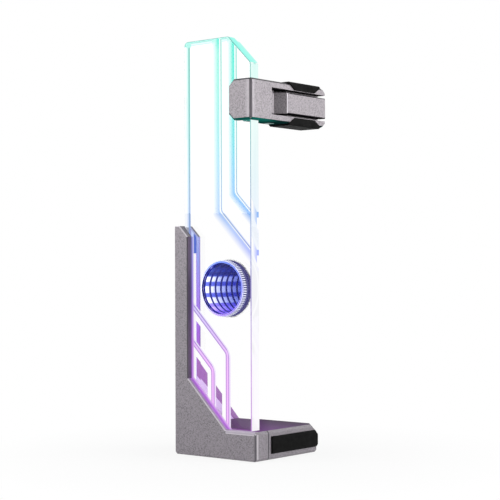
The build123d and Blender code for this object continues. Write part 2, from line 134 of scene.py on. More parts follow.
def new_tree(name):
    """A new material and its empty node tree."""
    material = bpy.data.materials.new(name)
    material.use_nodes = True
    material.node_tree.nodes.clear()
    return material, material.node_tree


def node(tree, kind, inputs=(), **settings):
    """Adds a node. inputs gives its sockets a value each, or another node's output."""
    made = tree.nodes.new("ShaderNode" + kind)
    for key, value in settings.items():
        setattr(made, key, value)
    for key, value in dict(inputs).items():
        if isinstance(value, bpy.types.NodeSocket):
            tree.links.new(value, made.inputs[key])
        else:
            made.inputs[key].default_value = value
    return made


def finish_tree(tree, shader):
    """Ends a material's tree with this shader."""
    node(tree, "OutputMaterial", {0: shader})


def calc(tree, operation, first, second=0.0, third=0.0):
    """One math node's output."""
    return node(tree, "Math", {0: first, 1: second, 2: third}, operation=operation).outputs[0]


def mixed(tree, factor, first, second):
    """Two colours mixed by a factor: the first at 0, the second at 1."""
    return node(tree, "Mix", {0: factor, 6: first, 7: second}, data_type="RGBA").outputs[2]


def ramp(tree, factor, stops):
    """A colour ramp through (position, colour) stops."""
    made = node(tree, "ValToRGB", {0: factor})
    elements = made.color_ramp.elements
    while len(elements) > 1:
        elements.remove(elements[-1])
    elements[0].position, elements[0].color = stops[0]
    for position, value in stops[1:]:
        elements.new(position).color = value
    return made.outputs[0]


def level(tree, value, low, high, bottom=0.0, top=1.0):
    """value mapped from low..high to bottom..top and held there outside."""
    made = node(tree, "MapRange", {0: value, 1: low, 2: high, 3: bottom, 4: top}, clamp=True)
    return made.outputs[0]


def above(tree, value, limit):
    """1 where value is greater than limit, else 0."""
    return calc(tree, "GREATER_THAN", value, limit)


def below(tree, value, limit):
    """1 where value is less than limit, else 0."""
    return calc(tree, "LESS_THAN", value, limit)


def near(tree, value, target, reach):
    """1 where value is within reach of target, else 0."""
    return calc(tree, "COMPARE", value, target, reach)


def band(tree, value, low, high):
    """1 where value lies between low and high, else 0."""
    return near(tree, value, (low + high) / 2, (high - low) / 2)


def both(tree, *masks):
    """Where all masks are 1."""
    result = masks[0]
    for mask in masks[1:]:
        result = calc(tree, "MULTIPLY", result, mask)
    return result


def layered(tree, base, layers):
    """A colour with (mask, colour) layers painted over it in their order."""
    for mask, paint in layers:
        base = mixed(tree, mask, base, paint)
    return base


def place(tree):
    """The point's x, y and z in the object's own frame, in millimetres."""
    coordinates = node(tree, "TexCoord").outputs["Object"]
    scaled = node(tree, "VectorMath", {0: coordinates, 1: (1 / MM,) * 3}, operation="MULTIPLY")
    split = node(tree, "SeparateXYZ", {0: scaled.outputs[0]})
    return split.outputs[0], split.outputs[1], split.outputs[2]


def facing(tree):
    """The face's own normal as x, y and z."""
    split = node(tree, "SeparateXYZ", {0: node(tree, "NewGeometry").outputs["True Normal"]})
    return split.outputs[0], split.outputs[1], split.outputs[2]


def noise(tree, scale, detail=2.0, roughness=0.5):
    """Noise fixed to the object; scale is in cells for each metre."""
    coordinates = node(tree, "TexCoord").outputs["Object"]
    made = node(tree, "TexNoise", {"Vector": coordinates, "Scale": scale, "Detail": detail,
                                   "Roughness": roughness})
    return made.outputs[0]


def height_ramp(tree, z, stops):
    """A colour by height above the ground, from (height, colour) stops."""
    share = level(tree, z, 0, ramp_height)
    return ramp(tree, share, [(height / ramp_height, value) for height, value in stops])


# Colours of the light by height: teal at the top, blue in the middle, violet near the foot. The four are
# the panel's glow, the thin lines at its edges, its brightest lines near the foot, and its right face
glow_stops = [(0, colour(196, 116, 240)), (40, colour(204, 126, 250)), (62, colour(200, 138, 252)),
              (84, colour(176, 150, 255)), (110, colour(150, 168, 255)), (123, colour(152, 188, 252)),
              (131, colour(122, 176, 244)), (145, colour(120, 192, 242)), (172, colour(80, 214, 220)),
              (200, colour(30, 224, 206)), (216, colour(10, 226, 204))]
line_stops = [(0, colour(202, 140, 226)), (45, colour(200, 142, 228)), (70, colour(172, 140, 216)),
              (90, colour(150, 134, 214)), (122, colour(136, 162, 220)), (145, colour(134, 172, 200)),
              (172, colour(104, 184, 184)), (216, colour(84, 186, 174))]
light_stops = [(0, colour(246, 190, 255)), (50, colour(244, 192, 255)), (70, colour(222, 200, 255)),
               (90, colour(214, 214, 255))]
side_stops = [(0, colour(255, 253, 255)), (96, colour(252, 252, 255)), (128, colour(238, 246, 255)),
              (150, colour(233, 248, 251)), (180, colour(235, 252, 248)), (216, colour(214, 252, 245))]


def glow_colour(tree, z):
    """The colour of the panel's light at a height."""
    return height_ramp(tree, z, glow_stops)


def spine_light(tree, x, z):
    """Light between the column's plates: pale over blue near the top, white and violet further down."""
    blue = mixed(tree, above(tree, x, left + spine_pale), colour(196, 210, 252), colour(84, 110, 208))
    white = mixed(tree, above(tree, x, left + spine_bright), colour(252, 250, 255), colour(176, 124, 240))
    strip = mixed(tree, above(tree, z, spine_blue_from), white, blue)
    return mixed(tree, below(tree, x, left + spine_dark), strip, colour(150, 150, 206))


def near_plate_layers(tree):
    """Near plate: painted light and shade on its faces, and painted highlight lines along the foot's near
    face.
    """
    x, y, z = place(tree)
    side, ahead, up = facing(tree)
    near_side, column_top = below(tree, y, front), above(tree, z, column_top_from)
    # Inner side: painted shade deep in, turning to the panel's violet light painted near the panel
    upper = height_ramp(tree, z, [(0, colour(184, 124, 212)), (62, colour(184, 130, 220)),
                                  (90, colour(146, 138, 196)), (125, colour(140, 142, 172))])
    inward = both(tree, near_side, above(tree, side, square), below(tree, x, right),
                  above(tree, z, foot_top))
    yield inward, mixed(tree, level(tree, y, front - 1.3, front - 0.1), colour(98, 84, 106), upper)
    # Column's flat top: painted shade
    yield both(tree, near_side, above(tree, up, square), column_top), colour(100, 95, 102)

    # Slopes: painted shade up top with a darker painted line at the back, the panel's violet light painted
    # lower down
    slope = both(tree, near_side, band(tree, up, sloped, square), above(tree, side, sloped),
                 above(tree, z, foot_top + 0.1))
    high = mixed(tree, above(tree, y, front - 0.7), colour(124, 119, 126), colour(84, 80, 88))
    low = mixed(tree, level(tree, y, foot_front + 1.0, front - 0.6), colour(168, 156, 174),
                colour(206, 138, 236))
    yield slope, mixed(tree, column_top, low, high)
    # Ledge before the panel: the panel's lilac light painted on
    ledge = both(tree, near_side, above(tree, up, square), near(tree, z, foot_top, 0.1))
    yield ledge, colour(172, 150, 184)

    # Painted highlight lines along the top of the foot's near face
    rim = both(tree, below(tree, ahead, -square), above(tree, x, gusset_end + 0.6))
    yield both(tree, rim, band(tree, z, foot_top - 1.5, foot_top - 0.4)), colour(184, 176, 188)
    yield both(tree, rim, band(tree, z, foot_top - 1.9, foot_top - 1.5)), colour(204, 199, 206)


def web_light_band(tree, y, z):
    """Painted pale band of light that slants across the back web and the far plate."""
    step = calc(tree, "MULTIPLY", above(tree, y, far_plate_from), light_band_step)
    slanted = calc(tree, "SUBTRACT", calc(tree, "ADD", z, calc(tree, "MULTIPLY", y, light_band_slope)), step)
    return both(tree, level(tree, slanted, light_band_from, light_band_full), below(tree, slanted, light_band_to))


def touching_panel(tree):
    """The housing's faces that lie against the panel's far face. They show only what light_beside gives."""
    x, y, z = place(tree)
    return both(tree, near(tree, y, back, 0.06), below(tree, facing(tree)[1], -sloped),
                above(tree, z, foot_top - 0.5), below(tree, x, right - 2.0))


def far_plate_layers(tree):
    """Far plate, spine and back web: painted violet light from the panel, and painted shade."""
    _, y, z = place(tree)
    side, _, up = facing(tree)
    far_side = above(tree, y, back - 0.01)
    violet = height_ramp(tree, z, [(0, colour(150, 84, 172)), (50, colour(156, 88, 178)),
                                   (66, colour(150, 78, 206)), (90, colour(150, 118, 226)),
                                   (108, colour(128, 140, 216)), (125, colour(150, 156, 200))])
    deep = height_ramp(tree, z, [(0, colour(126, 74, 150)), (50, colour(122, 66, 148)),
                                 (66, colour(112, 44, 172)), (90, colour(112, 74, 184)),
                                 (125, colour(132, 130, 192))])
    # Painted shade: deeper violet along the far edge up high
    far_edge = both(tree, band(tree, y, back + 2.4, back + 4.6), above(tree, z, far_edge_from))
    violet = mixed(tree, far_edge, violet, deep)
    # Painted pale band of light across the web
    violet = mixed(tree, web_light_band(tree, y, z), violet, colour(226, 196, 248))
    yield both(tree, far_side, above(tree, side, sloped), above(tree, z, foot_top)), violet

    # Painted shade on the far plate's top slope
    top_slope = both(tree, far_side, above(tree, y, back + 1.6), band(tree, up, sloped, square),
                     above(tree, z, column_top_from))
    yield top_slope, colour(92, 88, 98)
    # Faces against the panel painted black, so only their painted light shows
    yield touching_panel(tree), grey(0.0)


def foot_seam(tree):
    """The seam between the two shells, on the foot's right end."""
    x, y, _ = place(tree)
    return both(tree, near(tree, y, back, 0.28), above(tree, x, right + 0.5))


def foot_flat_top(tree):
    """The foot's flat top beyond the panel."""
    _, y, z = place(tree)
    return both(tree, near(tree, z, foot_top, 0.1), above(tree, facing(tree)[2], square),
                above(tree, y, front))


def foot_edge_layers(tree):
    """Painted highlights and shade on the near face's edges and corner, the seam, and painted light on the
    foot top.
    """
    x, y, z = place(tree)
    side, ahead, up = facing(tree)
    # Painted highlights on the upper bevels and along the foot's top edge, painted shade on the right
    # bevels
    edge = band(tree, ahead, -square, -bevelled)
    upper_edge = both(tree, edge, above(tree, up, 0.3))
    yield upper_edge, colour(214, 209, 216)
    foot_edge = both(tree, upper_edge, near(tree, z, foot_top, 0.8), above(tree, x, gusset_end + 0.6))
    yield foot_edge, colour(186, 176, 192)
    right_edge = both(tree, edge, above(tree, side, bevelled), below(tree, up, 0.3))
    yield right_edge, colour(98, 94, 101)

    # Painted shade in the near face's right corner, and a painted highlight on the end face's front strip
    corner = both(tree, below(tree, ahead, -square), above(tree, x, foot_right - 1.3),
                  below(tree, z, foot_top - 0.6))
    yield both(tree, corner, 0.7), colour(104, 100, 106)
    end_strip = both(tree, above(tree, side, square), above(tree, x, right + 1.0),
                     below(tree, y, foot_front + 2.0))
    yield end_strip, colour(190, 185, 191)
    yield foot_seam(tree), colour(44, 41, 46)

    # The panel's violet light painted on the foot's top, fading back, darker beyond a soft painted shadow
    # edge
    purple = mixed(tree, level(tree, y, front, foot_back), colour(142, 106, 158), colour(106, 97, 110))
    beside = calc(tree, "ADD", x, calc(tree, "MULTIPLY", y, foot_glow_slope))
    panel_edge = right + foot_glow_slope * back
    glow = level(tree, beside, panel_edge - foot_glow_blur, panel_edge + foot_glow_blur, 1.0, 0.0)
    yield foot_flat_top(tree), mixed(tree, glow, purple, colour(90, 42, 106))


def light_beside(tree):
    """Light that the housing's faces against the panel send through it."""
    x, _, z = place(tree)
    web_light = height_ramp(tree, z, [(0, colour(132, 80, 150)), (34, colour(150, 88, 168)),
                                      (56, colour(168, 100, 188)), (66, colour(170, 116, 232))])
    light = mixed(tree, below(tree, x, column_right + 0.1), web_light, spine_light(tree, x, z))
    return mixed(tree, touching_panel(tree), grey(0.0), light)


def lit_housing(tree, base):
    """Housing with painted light, shade and highlights. Gives the colour, where it has no gloss, and the
    light it adds.
    """
    for layers in (near_plate_layers, far_plate_layers, foot_edge_layers):
        base = layered(tree, base, layers(tree))
    # Gloss taken off the faces against the panel, the foot's top in painted light and shade, and the seam
    unglossed = calc(tree, "MAXIMUM", touching_panel(tree), foot_flat_top(tree))
    return base, calc(tree, "MAXIMUM", unglossed, foot_seam(tree)), light_beside(tree)


def arm_layers(tree):
    """Painted highlights and shade on the arm and lever, and the panel's teal light painted under it and in
    the jaw.
    """
    x, y, z = place(tree)
    side, ahead, up = facing(tree)
    at_front = below(tree, y, arm_front + 2.6)
    edge = band(tree, ahead, -square, -bevelled)
    # Painted shade on the right bevel at the front
    yield both(tree, edge, above(tree, side, bevelled), at_front), colour(124, 119, 125)

    # Painted highlight strips and painted shade strips beside the front corner
    right_side = above(tree, side, square)
    near_end = both(tree, below(tree, ahead, -square), at_front)
    highlight_strip = calc(tree, "MAXIMUM",
                      both(tree, right_side, level(tree, y, arm_front + 1.6, arm_front + 3.6, 0.6, 0.0)),
                      both(tree, near_end, level(tree, x, arm_right - 4.2, arm_right - 1.8, 0.0, 0.6)))
    yield highlight_strip, colour(186, 180, 186)
    shade_strip = calc(tree, "MAXIMUM", both(tree, right_side, below(tree, y, arm_front + 1.3)),
                      both(tree, near_end, above(tree, x, arm_right - 1.3)))
    yield shade_strip, colour(112, 107, 113)
    # Painted shade on faces that slope upwards and on the left bevels
    yield band(tree, up, 0.3, 0.95), colour(66, 62, 68)
    yield both(tree, edge, below(tree, side, -bevelled)), colour(96, 104, 106)
    # Painted highlight lines on the lever
    for start, reach in lever_highlights:
        line = both(tree, near(tree, y, arm_front + start, reach), above(tree, x, arm_right - 1.6),
                    near(tree, z, arm_middle, 5.8))
        yield line, colour(200, 195, 201)

    # Down-facing faces: the panel's teal light painted low down, painted shade higher up; teal light
    # painted in the jaw
    from_panel = calc(tree, "ABSOLUTE", calc(tree, "SUBTRACT", y, (front + back) / 2))
    lit = level(tree, from_panel, 3.5, 16.0, 1.0, 0.0)
    teal = mixed(tree, lit, colour(12, 44, 42), colour(24, 108, 97))
    shade = mixed(tree, below(tree, z, arm_base + 3.0), colour(28, 26, 29), teal)
    yield below(tree, up, -sloped), shade
    in_jaw = both(tree, near(tree, y, (front + back) / 2, (back - front) / 2 + 0.3),
                  below(tree, x, right + 0.3))
    yield in_jaw, colour(70, 160, 152)


def lit_arm(tree, base):
    """Arm and lever with painted highlights, shade and light, as lit_housing gives; no gloss on the shaded
    underside.
    """
    return layered(tree, base, arm_layers(tree)), below(tree, facing(tree)[2], -sloped), grey(0.0)


def painted_metal(name, dark, light, grain_scale, fleck_scale, paint_light_and_shade):
    """Satin metallic paint with a fine grain; the given function paints highlights, shade and the panel's
    light on it.
    """
    material, tree = new_tree(name)
    grain = noise(tree, grain_scale, 3.0, 0.7)
    fleck = noise(tree, fleck_scale, 1.0)
    cloud = noise(tree, 90, 2.0)
    base = ramp(tree, grain, [(0.42, dark), (0.58, light)])
    base = mixed(tree, level(tree, fleck, 0.43, 0.6, 0.0, 0.75), base, light)
    base = mixed(tree, level(tree, cloud, 0.35, 0.65, 0.0, 0.12), base, light)
    # Painted highlights, painted shade and the panel's painted light, and where the gloss is taken off
    base, unglossed, light_added = paint_light_and_shade(tree, base)
    rounded = node(tree, "Bevel", {"Radius": 0.25 * MM}, samples=4)
    bump = node(tree, "Bump", {"Strength": 0.22, "Distance": 0.05 * MM, "Height": grain,
                               "Normal": rounded.outputs[0]})
    rough = level(tree, grain, 0.3, 0.7, 0.42, 0.56)
    # No gloss on faces in painted shade, on faces painted black, and on the seam
    sheen = calc(tree, "SUBTRACT", 1.0, unglossed)
    shader = node(tree, "BsdfPrincipled", {"Base Color": base, "Roughness": rough,
                                           "Normal": bump.outputs[0],
                                           "Metallic": calc(tree, "MULTIPLY", sheen, 0.4),
                                           "Specular IOR Level": calc(tree, "MULTIPLY", sheen, 0.5),
                                           "Emission Color": light_added, "Emission Strength": 1.0})
    finish_tree(tree, shader.outputs[0])
    return material


def rubber():
    """Matt black rubber with a fine grain."""
    material, tree = new_tree("rubber_black")
    grain = noise(tree, 2600, 3.0, 0.6)
    ridges = noise(tree, 300, 1.0)
    base = ramp(tree, grain, [(0.3, grey(0.003)), (0.75, grey(0.009))])
    height = calc(tree, "ADD", grain, calc(tree, "MULTIPLY", ridges, 0.4))
    bump = node(tree, "Bump", {"Strength": 0.35, "Distance": 0.08 * MM, "Height": height})
    rough = level(tree, ridges, 0.3, 0.7, 0.62, 0.8)
    shader = node(tree, "BsdfPrincipled", {"Base Color": base, "Roughness": rough,
                                           "Specular IOR Level": 0.06, "Normal": bump.outputs[0]})
    finish_tree(tree, shader.outputs[0])
    return material


def plain_metal(name, tint, rough_low, rough_high, scale):
    """Bare or plated metal with fine turning streaks, and the panel's teal light painted on where it shows
    under the arm.
    """
    material, tree = new_tree(name)
    streak = noise(tree, scale, 3.0, 0.6)
    base = ramp(tree, streak, [(0.3, tuple(0.85 * v for v in tint[:3]) + (1.0,)), (0.7, tint)])
    # The panel's teal light painted on down-facing faces just under the arm
    under_arm = both(tree, below(tree, facing(tree)[2], -sloped), near(tree, place(tree)[2], arm_base, 4.0))
    base = mixed(tree, under_arm, base, colour(44, 132, 120))
    rough = level(tree, streak, 0.3, 0.7, rough_low, rough_high)
    rounded = node(tree, "Bevel", {"Radius": 0.12 * MM}, samples=4)
    bump = node(tree, "Bump", {"Strength": 0.12, "Distance": 0.03 * MM, "Height": streak,
                               "Normal": rounded.outputs[0]})
    shader = node(tree, "BsdfPrincipled", {"Base Color": base, "Metallic": 1.0, "Roughness": rough,
                                           "Normal": bump.outputs[0]})
    finish_tree(tree, shader.outputs[0])
    return material


def plastic(name, dark, light, scale, roughness):
    """Plain plastic with a slight grain between two colours."""
    material, tree = new_tree(name)
    grain = noise(tree, scale, 2.0)
    base = ramp(tree, grain, [(0.3, dark), (0.7, light)])
    bump = node(tree, "Bump", {"Strength": 0.2, "Distance": 0.04 * MM, "Height": grain})
    rough = level(tree, grain, 0.3, 0.7, roughness - 0.06, roughness + 0.06)
    shader = node(tree, "BsdfPrincipled", {"Base Color": base, "Roughness": rough,
                                           "Normal": bump.outputs[0]})
    finish_tree(tree, shader.outputs[0])
    return material


# Ring: the window's radius, its mirror film, and what each mirror sends back
window_radius = 13.75
film_radius, film_gap = 13.5, 0.01
mirror_tint = (0.81, 0.825, 0.93, 1.0)

# Knurl round the ring's edge: how many teeth, their depth, and how far it stays from the rim and the panel
knurl_count = 76
knurl_depth = 0.25
knurl_inset, knurl_end = 0.05, 0.15

# The ring's bevel, the thickness of its lip and the wall behind the lip
ring_edge = 0.4
lip_thickness = 1.0
ring_wall = 0.6

# Light pieces round the ring, and how far their pattern is turned, in radians
spot_count = 14
spot_turn = 0.05


def ring_turn(tree):
    """The point's place round the ring: across and up from its middle, radius, and depth."""
    x, y, z = place(tree)
    across = calc(tree, "SUBTRACT", x, ring_middle.x / MM)
    height = calc(tree, "SUBTRACT", z, ring_middle.z / MM)
    squares = calc(tree, "ADD", calc(tree, "MULTIPLY", across, across),
                   calc(tree, "MULTIPLY", height, height))
    return across, height, calc(tree, "SQRT", squares), y


def height_share(tree, height, stops):
    """A colour by height above the ring's middle, from (height, colour) stops."""
    reach = 15.0
    share = level(tree, height, -reach, reach)
    return ramp(tree, share, [((stop + reach) / (2 * reach), value) for stop, value in stops])


# Grooves of the panel: half the width, the depth, the first bend's place, and the step to the next one
groove_half = 2.5
groove_depth = 2.0
upper_first, upper_step = (20.4, 130.9), (10.6, 9.5)
lower_first, lower_step = (16.4, 46.2), (10.3, 9.2)

# How round a bend is, and how far a groove's end seems to move across for each millimetre of depth
bend_blend = 1.6
side_view_slope = 1.64

# How strongly each upper groove's floor glows, and a lower one's
upper_strength = (0.76, 1.0)
lower_strength = 0.05


def groove_across(tree, x, z, bend, upper):
    """Distance across a groove that runs upright and then turns 45 degrees, positive to the right."""
    from_left, height = bend
    side = calc(tree, "SUBTRACT", x, left + from_left)
    rise = calc(tree, "SUBTRACT", z, foot_base + height)
    slant = calc(tree, "MULTIPLY", calc(tree, "ADD", side, rise), math.sqrt(0.5))
    return calc(tree, "SMOOTH_MIN" if upper else "SMOOTH_MAX", side, slant, bend_blend)


def groove_share(tree, across, z, upper, number):
    """How much of the glow a groove's floor shows: more towards its right wall, and near the top edge."""
    share = level(tree, across, -groove_half, 0.6 * groove_half)
    if not upper:
        return calc(tree, "MULTIPLY", share, lower_strength)
    crowned = level(tree, z, top - 7.0, top - 1.0, upper_strength[number], 1.0)
    share = calc(tree, "MULTIPLY", share, crowned)
    return calc(tree, "MAXIMUM", share, level(tree, z, top - 4.0, top - 1.0, 0.0, 0.6))


def groove_layers(tree, bend, upper, number):
    """Painted glow on one groove's floor, walls and rims, and on its end as the panel's right face shows
    it.
    """
    x, y, z = place(tree)
    side, flat, _ = (calc(tree, "ABSOLUTE", value) for value in facing(tree))
    glow, line, white = glow_colour(tree, z), height_ramp(tree, z, line_stops), grey(1.0)
    across = groove_across(tree, x, z, bend, upper)
    floor_face = both(tree, near(tree, y, back - groove_depth, in_plane), above(tree, flat, square),
                      near(tree, across, 0.0, groove_half + 0.8))
    yield floor_face, mixed(tree, groove_share(tree, across, z, upper, number), white, glow)

    walls = both(tree, near(tree, calc(tree, "ABSOLUTE", across), groove_half, 0.8), below(tree, flat, 0.3),
                 band(tree, y, back - groove_depth + in_plane, back - 0.02))
    yield walls, mixed(tree, 0.15 if upper else 0.3, white, glow)

    rear_face = both(tree, near(tree, y, back, in_plane), above(tree, flat, square))
    if not upper:
        # Painted light lines beside and on the lower groove's floor
        yield both(tree, rear_face, near(tree, across, -2.8, 0.2)), mixed(tree, 0.25, white, line)
        yield both(tree, floor_face, band(tree, across, 0.1, groove_half + 0.2)), line
        yield both(tree, floor_face, band(tree, across, 0.75, 1.8)), height_ramp(tree, z, light_stops)
        return

    yield both(tree, rear_face, band(tree, across, groove_half, groove_half + 0.6)), line
    outer_rim = band(tree, across, groove_half + 0.6, groove_half + 1.15)
    yield both(tree, rear_face, outer_rim), mixed(tree, 0.4, white, glow)
    # Painted view of the groove's glowing end on the right face
    inside = calc(tree, "MAXIMUM", calc(tree, "SUBTRACT", back - groove_depth, y), 0.0)
    seen_x = calc(tree, "SUBTRACT", right - 3.0, calc(tree, "MULTIPLY", inside, side_view_slope))
    seen_across = groove_across(tree, seen_x, z, bend, True)
    right_face = both(tree, near(tree, x, right, in_plane), above(tree, side, square))
    wedge = both(tree, right_face, near(tree, seen_across, 0.0, groove_half))
    yield wedge, mixed(tree, level(tree, y, front + 1.5, back - 1.0, 0.0, 0.95), white, glow)


def housing_glow(tree, x, z):
    """Violet light on the panel's front along the column and the gusset: its strength and its colour."""
    beside_column = calc(tree, "SUBTRACT", x, column_right)
    above_gusset = calc(tree, "SUBTRACT", calc(tree, "ADD", x, z), gusset_line)
    away = calc(tree, "MINIMUM", beside_column, calc(tree, "MULTIPLY", above_gusset, math.sqrt(0.5)))
    reach = both(tree, above(tree, away, 0.0), below(tree, z, panel_light_top), above(tree, z, foot_top),
                 level(tree, away, 0.9, 1.9, 0.95, 0.0))
    return reach, height_ramp(tree, z, [(0, colour(206, 138, 236)), (62, colour(186, 118, 220)),
                                        (90, colour(150, 122, 220)), (125, colour(150, 150, 220))])


def panel_edge_layers(tree):
    """Painted glow on the panel's edges, bevels, chamfer and strip before the spine, and painted shade in
    its bore.
    """
    x, y, z = place(tree)
    side, flat, up = (calc(tree, "ABSOLUTE", value) for value in facing(tree))
    glow, line, white = glow_colour(tree, z), height_ramp(tree, z, line_stops), grey(1.0)
    top_glow = colour(90, 252, 232)
    rear_face = near(tree, y, back, in_plane)

    pale = mixed(tree, level(tree, y, front + 2.5, back, 0.1, 0.7), white, glow)
    yield both(tree, near(tree, x, left, in_plane), 0.9), pale
    yield both(tree, above(tree, y, back - 0.45), below(tree, x, left + 1.0)), line
    before_spine = both(tree, rear_face, band(tree, x, left + 0.6, column_right),
                        band(tree, z, foot_top, panel_light_top))
    yield before_spine, spine_light(tree, x, z)

    right_face = both(tree, near(tree, x, right, in_plane), above(tree, side, square))
    yield both(tree, right_face, 0.92), height_ramp(tree, z, side_stops)
    chamfer_face = both(tree, band(tree, side, sloped, square), band(tree, up, sloped, square))
    fading = level(tree, y, front, back, 0.86, 0.6)
    yield both(tree, chamfer_face, 0.95), mixed(tree, fading, white, top_glow)
    top_face = both(tree, above(tree, z, top - 2.6), above(tree, up, 0.3), below(tree, flat, 0.1),
                    below(tree, side, sloped))
    yield both(tree, top_face, 0.95), mixed(tree, 0.75, white, top_glow)
    yield both(tree, band(tree, flat, bevelled, square), 0.85), line

    front_face = both(tree, near(tree, y, front, in_plane), above(tree, flat, square))
    strength, violet = housing_glow(tree, x, z)
    yield both(tree, front_face, strength), violet

    radius = ring_turn(tree)[2]
    # Painted shade in the bore, darker deeper in
    bore = both(tree, band(tree, radius, ring_radius - 0.3, ring_radius + 0.2), below(tree, flat, 0.3))
    yield bore, mixed(tree, level(tree, y, front, front + 3.0), colour(104, 102, 160), colour(62, 58, 116))
    # Painted white glow round the ring on the rear face
    yield both(tree, rear_face, band(tree, radius, ring_radius, ring_radius + 2.2)), white

    crown = both(tree, rear_face, above(tree, z, top - 1.7))
    pale_top = mixed(tree, 0.65, white, top_glow)
    yield both(tree, crown, 0.9), mixed(tree, near(tree, z, top - 1.0, 0.12), pale_top, white)
    corner = both(tree, above(tree, z, top - 2.5), below(tree, x, left + 1.9))
    yield both(tree, corner, 0.9), mixed(tree, 0.7, white, glow)


def panel_layers(tree):
    """The panel's lit surfaces as (mask, colour) pairs, painted in this order."""
    yield from panel_edge_layers(tree)
    for upper, first, step in ((True, upper_first, upper_step), (False, lower_first, lower_step)):
        for number in (0, 1):
            bend = (first[0] + number * step[0], first[1] + number * step[1])
            yield from groove_layers(tree, bend, upper, number)


def panel_material():
    """Clear acrylic that glows where its grooves, edges and bevels scatter the light inside it."""
    material, tree = new_tree("clear_panel")
    tint, cover = grey(1.0), 0.0
    for mask, paint in panel_layers(tree):
        tint = mixed(tree, mask, tint, paint)
        cover = calc(tree, "MAXIMUM", cover, mask)
    glass = node(tree, "BsdfPrincipled", {"Base Color": grey(1.0), "Roughness": 0.0, "IOR": 1.49,
                                          "Transmission Weight": 1.0})
    clear = node(tree, "BsdfTransparent", {0: grey(1.0)})
    shadow = node(tree, "LightPath").outputs["Is Shadow Ray"]
    body = node(tree, "MixShader", {0: shadow, 1: glass.outputs[0], 2: clear.outputs[0]})
    light = node(tree, "Emission", {"Color": tint, "Strength": 1.0})
    shader = node(tree, "MixShader", {0: cover, 1: body.outputs[0], 2: light.outputs[0]})
    finish_tree(tree, shader.outputs[0])
    return material


def lit_film(name, strength):
    """Light pieces, coloured by height."""
    material, tree = new_tree(name)
    light = node(tree, "Emission", {"Color": glow_colour(tree, place(tree)[2]), "Strength": strength})
    finish_tree(tree, light.outputs[0])
    return material


def ring_glow_material():
    """The ring's light guide: bright spots at its light pieces, painted shade at the top, a painted dark
    line at the window.
    """
    material, tree = new_tree("ring_glow")
    across, height, _, y = ring_turn(tree)
    turn = calc(tree, "ARCTAN2", height, calc(tree, "MULTIPLY", across, -1.0))
    turn = calc(tree, "ADD", turn, spot_turn)
    spot = calc(tree, "COSINE", calc(tree, "MULTIPLY", turn, float(spot_count)))
    bright = level(tree, spot, -0.6, 0.1)
    spots = height_share(tree, height, [(-14, colour(116, 84, 214)), (-11.5, colour(168, 140, 255)),
                                        (-8.6, colour(196, 184, 255)), (-8.0, colour(250, 250, 255)),
                                        (5.8, colour(246, 250, 255)), (6.6, colour(84, 104, 200)),
                                        (10, colour(44, 58, 144)), (14, colour(16, 22, 80))])
    gaps = height_share(tree, height, [(-14, colour(90, 64, 190)), (-8.6, colour(150, 130, 240)),
                                       (-8.0, colour(98, 106, 208)), (5.8, colour(94, 106, 208)),
                                       (6.6, colour(40, 54, 140)), (14, colour(10, 14, 60))])
    tint = mixed(tree, bright, gaps, spots)
    # Painted shade at the top, strongest on the right
    shaded = both(tree, level(tree, height, 5.6, 6.6), level(tree, across, -9, 0, 0.0, 0.95))
    tint = mixed(tree, shaded, tint, colour(8, 10, 56))
    # Painted dark line at the window's edge
    depth = calc(tree, "SUBTRACT", y, liner_front)
    tint = mixed(tree, level(tree, depth, 0.68, 0.95), colour(20, 24, 116), tint)
    light = node(tree, "Emission", {"Color": tint, "Strength": 1.6})
    finish_tree(tree, light.outputs[0])
    return material


def ring_metal_layers(tree):
    """Painted highlights and shade on the ring: its left, the lip, a step line, the knurl and the part in
    the panel.
    """
    across, height, radius, y = ring_turn(tree)
    proud = below(tree, y, front)
    # Painted highlight on the left of the ring
    left_highlight = both(tree, level(tree, across, -15, -3, 0.85, 0.0), level(tree, height, 5, 11, 1.0, 0.2))
    yield left_highlight, colour(240, 242, 255)
    # Painted shade on the lip at the window, and a painted dark line on the front face, darker to the right
    yield both(tree, below(tree, radius, window_radius + 0.05), proud), colour(50, 54, 160)
    step_line = both(tree, band(tree, radius, window_radius + 0.42, window_radius + 0.72), proud)
    yield both(tree, step_line, level(tree, across, -6, 6, 0.0, 0.9)), colour(60, 66, 176)

    # Painted highlights and shade on the knurl's teeth, and a painted highlight band and shade line at its
    # front
    knurl = both(tree, above(tree, radius, ring_radius - 0.45), proud)
    turn = calc(tree, "ARCTAN2", height, across)
    tick = level(tree, calc(tree, "COSINE", calc(tree, "MULTIPLY", turn, float(knurl_count))), -0.5, 0.2)
    yield knurl, mixed(tree, tick, colour(14, 18, 96), colour(236, 238, 255))
    yield both(tree, knurl, below(tree, y, ring_front + 0.6), 0.8), colour(214, 214, 255)
    yield both(tree, knurl, band(tree, y, ring_front + 0.6, ring_front + 0.8)), colour(56, 60, 160)
    # Painted shade on the part inside the panel
    sunk = both(tree, above(tree, y, front), above(tree, radius, window_radius + 1.0))
    yield sunk, colour(74, 68, 128)


def ring_metal_material():
    """Anodised ring in the panel's light: lavender on the left, blue at the top, lilac at the bottom."""
    material, tree = new_tree("ring_metal")
    height = ring_turn(tree)[1]
    base = height_share(tree, height, [(-15, colour(190, 160, 248)), (-8, colour(176, 168, 252)),
                                       (2, colour(150, 160, 248)), (15, colour(112, 140, 226))])
    base = layered(tree, base, ring_metal_layers(tree))
    streak = noise(tree, 1800, 3.0, 0.6)
    rough = level(tree, streak, 0.3, 0.7, 0.2, 0.3)
    # A faint painted glow in the colour of the painted light
    shader = node(tree, "BsdfPrincipled", {"Base Color": base, "Metallic": 0.8, "Roughness": rough,
                                           "Emission Color": base, "Emission Strength": 0.2})
    finish_tree(tree, shader.outputs[0])
    return material


